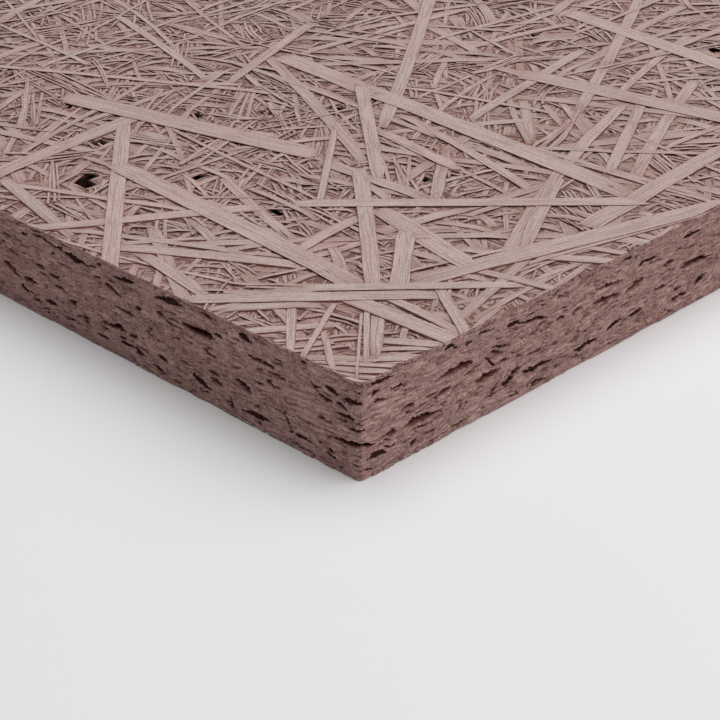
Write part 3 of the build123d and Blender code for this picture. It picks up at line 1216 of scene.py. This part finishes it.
edges = [edge_bar("sawn_edge_near", near_edge), edge_bar("sawn_edge_far", far_edge, FAR_KEEP)]

# %% [markdown]
# ## Behind the shavings
# Between the shavings one sees fine stuff packed behind them, and here and there a pore that goes
# deeper. Packing it with ever finer shavings would cost more triangles than it shows, so a thin slab
# with a fibrous finish lies behind each face, and its squares under a pore are pushed in.

# %% The two slabs
BED_ROOM = 0.7  # mm that a slab stays behind the sawn edges
BED_THICK = 1.5  # mm
BED_ROUGH = (-0.12, 0.2)  # mm, how far its squares' corners stray
PORE_DEPTH = 4.0  # mm
PIT_RIM = 0.2  # mm between the mouth of a pit and its floor, seen from above
TOP_SQUARE = 4.0  # mm
UNDER_SQUARE = 8.0


def under_pores(pores, middles):
    """The squares whose middles lie under a pore, and at least one for each pore."""
    pitted = set()
    for x, y, radius_x, radius_y, turn in pores:
        dx, dy = (middles - (x, y)).T
        along = dx * math.cos(turn) + dy * math.sin(turn)
        across = dy * math.cos(turn) - dx * math.sin(turn)
        off = (along / radius_x) ** 2 + (across / radius_y) ** 2
        pitted |= set(np.nonzero(off < 1)[0]) | {np.hypot(dx, dy).argmin()}
    return sorted(pitted)


def bed_slab(name, mat, face_z, up, square):
    """A closed slab of squares behind one face, with pits under the pores of its mat."""
    bm = bmesh.new()
    half = HALF_X - BED_ROOM
    count = round(2 * half / square)
    bmesh.ops.create_grid(bm, x_segments=count, y_segments=count, size=half * MM)
    for v in bm.verts:
        v.co.z = (face_z - up * (BED + rng.uniform(*BED_ROUGH))) * MM
    bm.faces.ensure_lookup_table()
    middles = np.array([f.calc_center_median()[:2] for f in bm.faces]) / MM
    pits = [bm.faces[i] for i in under_pores(mat.pores, middles)]
    bmesh.ops.inset_region(bm, faces=pits, thickness=PIT_RIM * MM, use_boundary=False)
    for v in {v for f in pits for v in f.verts}:
        v.co.z -= up * PORE_DEPTH * MM
    wall = bmesh.ops.extrude_edge_only(bm, edges=open_edges(bm))["geom"]
    for v in [g for g in wall if isinstance(g, bmesh.types.BMVert)]:
        v.co.z = (face_z - up * (BED + BED_THICK + PORE_DEPTH)) * MM
    bmesh.ops.holes_fill(bm, edges=open_edges(bm), sides=0)
    bmesh.ops.triangulate(bm, faces=[f for f in bm.faces if len(f.verts) > 4])
    bmesh.ops.recalc_face_normals(bm, faces=bm.faces)
    mesh = bpy.data.meshes.new(name)
    bm.to_mesh(mesh)
    bm.free()
    return add_piece(name, mesh, len(pits), "pits")


beds = [bed_slab("bed_top", upper, TOP, 1, TOP_SQUARE), bed_slab("bed_under", lower, 0.0, -1, UNDER_SQUARE)]

# %% [markdown]
# ## Writing a finish
# Cement dulls the wood to a pale pinkish brown, and what tells one part from another is how light and
# dark lie over it. A shader is easier to read as sums than as a web of nodes, so one small class lets
# Python's own operators add the Math nodes, and one method makes any other node.

# %% Shader helpers
class Socket:
    """A node's output that can be added to and multiplied."""

    def __init__(self, finish, output):
        self.finish = finish
        self.output = output

    def _math(self, operation, first, second):
        return self.finish.node("Math", {"operation": operation}, {0: first, 1: second})

    def __add__(self, other):
        return self._math("ADD", self, other)

    def __radd__(self, other):
        return self._math("ADD", other, self)

    def __sub__(self, other):
        return self._math("SUBTRACT", self, other)

    def __rsub__(self, other):
        return self._math("SUBTRACT", other, self)

    def __mul__(self, other):
        return self._math("MULTIPLY", self, other)

    def __rmul__(self, other):
        return self._math("MULTIPLY", other, self)

    def __abs__(self):
        return self.finish.node("Math", {"operation": "ABSOLUTE"}, {0: self})

    def least(self, other):
        return self._math("MINIMUM", self, other)

    def most(self, other):
        return self._math("MAXIMUM", self, other)


class Finish:
    """The nodes of a material, or of the sky."""

    def __init__(self, name, sky=False):
        self.material = (bpy.data.worlds if sky else bpy.data.materials).new(name)
        self.material.use_nodes = True
        self.tree = self.material.node_tree
        self.tree.nodes.clear()
        self.surface = self.tree.nodes.new("ShaderNodeBackground" if sky else "ShaderNodeBsdfPrincipled")
        self.out = self.tree.nodes.new("ShaderNodeOutputWorld" if sky else "ShaderNodeOutputMaterial")
        self.tree.links.new(self.surface.outputs[0], self.out.inputs[0])

    def fill(self, node, inputs):
        for name, value in inputs.items():
            if isinstance(value, Socket):
                self.tree.links.new(value.output, node.inputs[name])
            else:
                node.inputs[name].default_value = value

    def node(self, kind, settings=None, inputs=None, output=0):
        made = self.tree.nodes.new("ShaderNode" + kind)
        for name, value in (settings or {}).items():
            setattr(made, name, value)
        self.fill(made, inputs or {})
        return Socket(self, made.outputs[output])

    def place(self):
        """Where a point lies on the board, in metres."""
        return self.node("TexCoord", output="Object")

    def labels(self, *names):
        """The numbers that the points of a mesh carry."""
        return [self.node("Attribute", {"attribute_name": name}, output="Fac") for name in names]

    def stretched(self, where, scale):
        return self.node("Mapping", {}, {"Vector": where, "Scale": scale})

    def noise(self, where, scale, detail=2.0, roughness=0.5):
        inputs = {"Vector": where, "Scale": scale, "Detail": detail, "Roughness": roughness}
        return self.node("TexNoise", {}, inputs)

    def ramp(self, value, low, high):
        """Maps low to 0 and high to 1, clamped."""
        return self.node("MapRange", {"clamp": True}, {0: value, 1: low, 2: high, 3: 0.0, 4: 1.0})

    def blend(self, factor, low, high, way="MIX"):
        """One colour into another."""
        colours = {6: (*low, 1.0) if isinstance(low, tuple) else low,
                   7: (*high, 1.0) if isinstance(high, tuple) else high}
        return self.node("Mix", {"data_type": "RGBA", "blend_type": way}, {0: factor, **colours}, output=2)

    def shade(self, colour, light, dark):
        """A colour where light is 1, and the same colour times the dark one where light is 0."""
        return self.blend(light, self.blend(1.0, colour, dark, "MULTIPLY"), colour)

    def coat(self, colour, roughness, gloss, bump, depth, height):
        """Colour and gloss of the surface, and relief this many metres deep."""
        relief = self.node("Bump", {}, {"Strength": bump, "Distance": depth, "Height": height})
        self.fill(self.surface, {"Base Color": colour, "Roughness": roughness, "Normal": relief,
                                 "Specular IOR Level": gloss})
        return self.material


# %% [markdown]
# ## The shavings' finish
# A shaving is planed wood under a skin of cement: pale, matt and streaked along its length, with a few fine
# splits. Its long edges and side walls get painted shade, where shade falls between shavings. Each has its
# own tone. A photo of wood would repeat itself, so the streaks are noise drawn out along the Grain map:
# they run along every shaving whichever way it lies, and differ from one to the next. Those that lie deeper
# get painted shade and are a little darker.

# %% Shavings
PALE = ((0.575, 0.471, 0.431), (0.59, 0.451, 0.426))  # sand and rose
DULL = ((0.525, 0.413, 0.377), (0.535, 0.397, 0.372))
# Painted shade: the long edges and side walls of each shaving are darkened where shade falls between
# shavings.
RIM_SHADE = 0.12  # mm of a shaving's long edges that are darker
PER_METRE = 1000.0  # mm


def shaving_finish():
    finish = Finish("cement coated shavings")
    grain = finish.node("UVMap", {"uv_map": "Grain"})
    place = finish.place()
    height = finish.node("SeparateXYZ", {}, {0: place}, output=2) * PER_METRE
    tone, aside, breadth = finish.labels("tone", "aside", "breadth")
    streaks = finish.noise(finish.stretched(grain, (0.07, 2.6, 1.0)), 1.0, 3.0, 0.6)
    bends = finish.noise(finish.stretched(grain, (0.03, 0.8, 1.0)), 1.0, 1.0)
    splits = finish.ramp(abs(bends - 0.5), 0.002, 0.025)
    fine = finish.noise(place, 1700.0, 3.0, 0.7)
    nicks = finish.ramp(finish.noise(finish.stretched(grain, (0.8, 1.3, 1.0)), 1.0, 2.0), 0.5, 0.75) * 0.3
    # painted shade mask: 1 on the open face, 0 on the side walls and within RIM_SHADE of the long edges,
    # made ragged by the nicks
    rims = finish.ramp(breadth - abs(aside) - nicks, 0.0, RIM_SHADE)
    # painted shade: a shaving that lies deeper below the face is darkened
    deep = finish.ramp(height.least(TOP - height), 0.15, 0.7)
    tint = finish.ramp(finish.noise(place, 38.0, 2.0), 0.35, 0.65)
    colour = finish.blend(tone, finish.blend(tint, *DULL), finish.blend(tint, *PALE))
    colour = finish.shade(colour, finish.ramp(streaks, 0.32, 0.58), (0.87, 0.835, 0.825))
    colour = finish.shade(colour, finish.ramp(fine, 0.32, 0.62), (0.77, 0.735, 0.725))
    colour = finish.shade(colour, splits, (0.86, 0.79, 0.775))
    colour = finish.shade(colour, rims, (0.68, 0.47, 0.45))
    colour = finish.shade(colour, 1.0 - deep, (0.76, 0.64, 0.62))
    return finish.coat(colour, roughness=0.88, gloss=0.05, bump=0.8, depth=0.00015,
                       height=streaks + fine * 0.8 + splits)


# %% [markdown]
# ## The sawn edge's finish
# The saw opens the wood's pores and leaves crumbs of cement in them, so the edge is darker, redder and
# grainier than the faces. Plain noise would run straight through the shape, so bands and joints follow
# the layers of the map, which the points of the mesh carry, and arch round the slits with it. Where the
# map says that a shaving is cut along its fibres, the grains fade and fine lines take over. The deeper
# the wall lies behind the outline, the more painted shade it gets, so the slits are painted dark, darkest
# on their floors.

# %% Sawn edge
SAWN = ((0.725, 0.5, 0.461), (0.72, 0.476, 0.442))  # sand and rose


def sawn_finish():
    finish = Finish("sawn wood wool")
    place = finish.place()
    x, y = [finish.node("SeparateXYZ", {}, {0: place}, output=i) for i in (0, 1)]
    along, layer, tone, fibrous = finish.labels("along", "layer", "tone", "fibrous")
    sway = (finish.noise(place, 350.0, 2.0) - 0.5) * 0.8
    flow = finish.node("CombineXYZ", {}, {0: along * 0.15, 1: layer + sway})
    bands = finish.noise(flow, 2.4, 2.0, 0.65)
    joints = finish.ramp(abs(finish.noise(flow, 1.1, 1.0) - 0.5), 0.006, 0.04)
    joints = joints.most(finish.ramp(finish.noise(place, 330.0, 2.0), 0.42, 0.54))
    crumbs = 1.0 - finish.node("TexVoronoi", {}, {"Vector": place, "Scale": 1900.0})
    grains = finish.noise(place, 1500.0, 3.0, 0.75)
    # behind: mm that the wall lies back from the outline, which drives the painted shade below
    behind = HALF_X - PER_METRE * abs(x).most(abs(y))
    tint = finish.ramp(finish.noise(place, 120.0, 2.0), 0.35, 0.65)
    colour = finish.blend(tint, *SAWN)
    colour = finish.shade(colour, tone, (0.74, 0.69, 0.68))
    colour = finish.shade(colour, joints.most(fibrous * 0.7), (0.52, 0.42, 0.4))
    colour = finish.shade(colour, finish.ramp(crumbs, 0.2, 0.7).most(fibrous * 0.7), (0.74, 0.69, 0.68))
    colour = finish.shade(colour, finish.ramp(grains, 0.32, 0.6).most(fibrous * 0.65), (0.68, 0.62, 0.61))
    colour = finish.shade(colour, finish.ramp(bands, 0.35, 0.6).most(0.6 - fibrous), (0.66, 0.58, 0.57))
    # painted shade: the wall darkens with its depth behind the outline, most of all on the slits' floors
    colour = finish.shade(colour, 1.0 - finish.ramp(behind, 0.4, 0.9), (0.72, 0.6, 0.57))
    colour = finish.shade(colour, 1.0 - finish.ramp(behind, 0.6, 2.6), (0.5, 0.24, 0.19))
    rough = (crumbs * 0.6 + grains * 0.8) * (1.0 - fibrous * 0.6)
    rough = rough + bands * (0.3 + fibrous * 0.4) + joints * 0.5
    return finish.coat(colour, roughness=0.92, gloss=0.0, bump=1.0, depth=0.0004, height=rough)


# %% [markdown]
# ## The bed's finish
# What is packed behind the shavings is the finest wood wool: small bundles of fibres that lie every
# way, and far too many to model. A Voronoi pattern cuts the slab into patches, each patch turns the same
# streaky noise its own way, and a little warp keeps the patches from looking like tiles. The slab is
# darker than the shavings and darker still in the gaps between its fibres: painted shade for the shade
# behind the shavings. The pits get painted shade too, nearly black with their depth.

# %% Packed fibres
def bed_finish():
    finish = Finish("packed fibres")
    place = finish.place()
    height = finish.node("SeparateXYZ", {}, {0: place}, output=2) * PER_METRE
    warp = finish.node("TexNoise", {}, {"Vector": place, "Scale": 160.0, "Detail": 1.0}, output=1)
    warped = finish.node("VectorMath", {"operation": "MULTIPLY_ADD"},
                         {0: warp, 1: (0.006, 0.006, 0.0), 2: place})
    patch = finish.node("TexVoronoi", {}, {"Vector": warped, "Scale": 170.0}, output=1)
    turn = finish.node("SeparateColor", {}, {0: patch}, output=0) * math.pi
    tone = finish.node("SeparateColor", {}, {0: patch}, output=1)
    turned = finish.node("VectorRotate", {"rotation_type": "Z_AXIS"}, {"Vector": place, "Angle": turn})
    fibres = finish.noise(finish.stretched(turned, (0.07, 1.0, 0.2)), 1000.0, 2.0, 0.6)
    # painted shade: the gaps between fibres are darkened, for the shade that falls in them
    gaps = finish.ramp(abs(fibres - 0.5), 0.01, 0.07)
    # painted shade: the pits turn nearly black from BED + 0.3 to BED + 1 mm below the face
    pit = finish.ramp(height.least(TOP - height), BED + 0.3, BED + 1.0)
    # painted shade in part: these colours are darker than the shavings', for the shade behind them; the
    # fibre streaks are the slab's own pattern
    colour = finish.blend(finish.ramp(fibres, 0.3, 0.7), (0.42, 0.28, 0.25), (0.5, 0.36, 0.33))
    colour = finish.shade(colour, gaps, (0.5, 0.33, 0.31))
    colour = finish.shade(colour, tone, (0.8, 0.75, 0.74))
    colour = finish.blend(pit, colour, (0.05, 0.024, 0.02))
    return finish.coat(colour, roughness=0.92, gloss=0.0, bump=1.0, depth=0.0005,
                       height=fibres + gaps * 0.7)


# %% [markdown]
# ## Dress and seat the pieces
# The shavings' ends were cut by the same saw, so they carry the sawn finish in their second slot.
# Everything rides on the one body of the board, and together the pieces stand for its solid.

# %% Finishes
shaving_material = shaving_finish()
sawn_material = sawn_finish()
bed_material = bed_finish()
for piece in shavings:
    piece.data.materials.append(shaving_material)
    piece.data.materials.append(sawn_material)
for piece in edges:
    piece.data.materials.append(sawn_material)
for piece in beds:
    piece.data.materials.append(bed_material)
print("finishes:", shaving_material.name, "/", sawn_material.name, "/", bed_material.name)

# %% Ride
for piece in shavings + edges + beds:
    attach(piece, "root")
    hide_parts("board")
print(len(shavings + edges + beds), "pieces ride on the board")

# %% [markdown]
# ## Floor
# The board lies on a pale floor that runs on into an equally pale studio. A real studio does it with a
# paper sweep. Here the floor fades into plain light far behind the board, and the sky has the same
# brightness where the camera looks at it, so no horizon shows from any side. What lights the board is
# told apart by the Light Path node: only rays that are looked along see the bright studio.

# %% Floor
FLOOR_HALF = 4.0  # m
FADE = (0.8, 1.6)  # m from the middle of the board, where the floor turns into the studio
PAPER = 0.77  # how bright the floor looks round the board, and the studio behind it
WHITE = (1.0, 1.0, 1.0, 1.0)

bm = bmesh.new()
bmesh.ops.create_grid(bm, x_segments=1, y_segments=1, size=FLOOR_HALF)
floor_mesh = bpy.data.meshes.new("floor")
bm.to_mesh(floor_mesh)
bm.free()
floor = add_object("floor", floor_mesh)


def looked_at(finish):
    """1 for what the camera sees, also in a mirror or through glass, and 0 for what lights the board."""
    rays = [finish.node("LightPath", {}, {}, output=name)
            for name in ("Is Camera Ray", "Is Glossy Ray", "Is Transmission Ray")]
    return rays[0].most(rays[1]).most(rays[2])


paper = Finish("pale floor")
paper.fill(paper.surface, {"Base Color": (0.8, 0.8, 0.8, 1.0), "Roughness": 0.7, "Specular IOR Level": 0.2})
away = paper.node("VectorMath", {"operation": "LENGTH"}, {0: paper.place()}, output=1)
glow = paper.node("Emission", {}, {"Color": WHITE, "Strength": PAPER})
faded = paper.node("MixShader", {}, {0: paper.ramp(away, *FADE) * looked_at(paper),
                                     1: Socket(paper, paper.surface.outputs[0]), 2: glow})
paper.fill(paper.out, {0: faded})
floor.data.materials.append(paper.material)
print("floor", 2 * FLOOR_HALF, "m wide")

# %% [markdown]
# ## Light
# The picture has one broad soft light from above, behind the board on the right: the right edge is
# brighter than the left one, and both shadows on the floor are wide and soft. A sun lamp would draw them
# hard. A large square lamp gives them, with a little light from all round so that nothing is black.

# %% Lamp and sky
SKY = 0.04  # light from all round
LAMP_AIM = 0.6  # share of the way from the middle of the board to its near corner


def soft_lamp(name, azimuth, elevation, distance, size, power):
    """A square lamp that looks at the board, towards its near corner."""
    light = bpy.data.lights.new(name, "AREA")
    light.size = size
    light.energy = power
    lamp = add_object(name, light)
    a, e = math.radians(azimuth), math.radians(elevation)
    towards = Vector((math.sin(a) * math.cos(e), -math.cos(a) * math.cos(e), math.sin(e)))
    target = Vector((HALF_X * MM, -HALF_Y * MM, 0.0)) * LAMP_AIM
    lamp.location = target + towards * distance
    lamp.rotation_euler = (-towards).to_track_quat("-Z", "Y").to_euler()
    print(name, "at", [round(c, 2) for c in lamp.location], "m")


soft_lamp("window", azimuth=138.0, elevation=71.5, distance=1.4, size=2.8, power=44.0)
sky = Finish("sky", sky=True)
sky.fill(sky.surface, {0: WHITE, 1: looked_at(sky) * (PAPER - SKY) + SKY})
bpy.context.scene.world = sky.material
bpy.context.scene.view_settings.view_transform = "Standard"
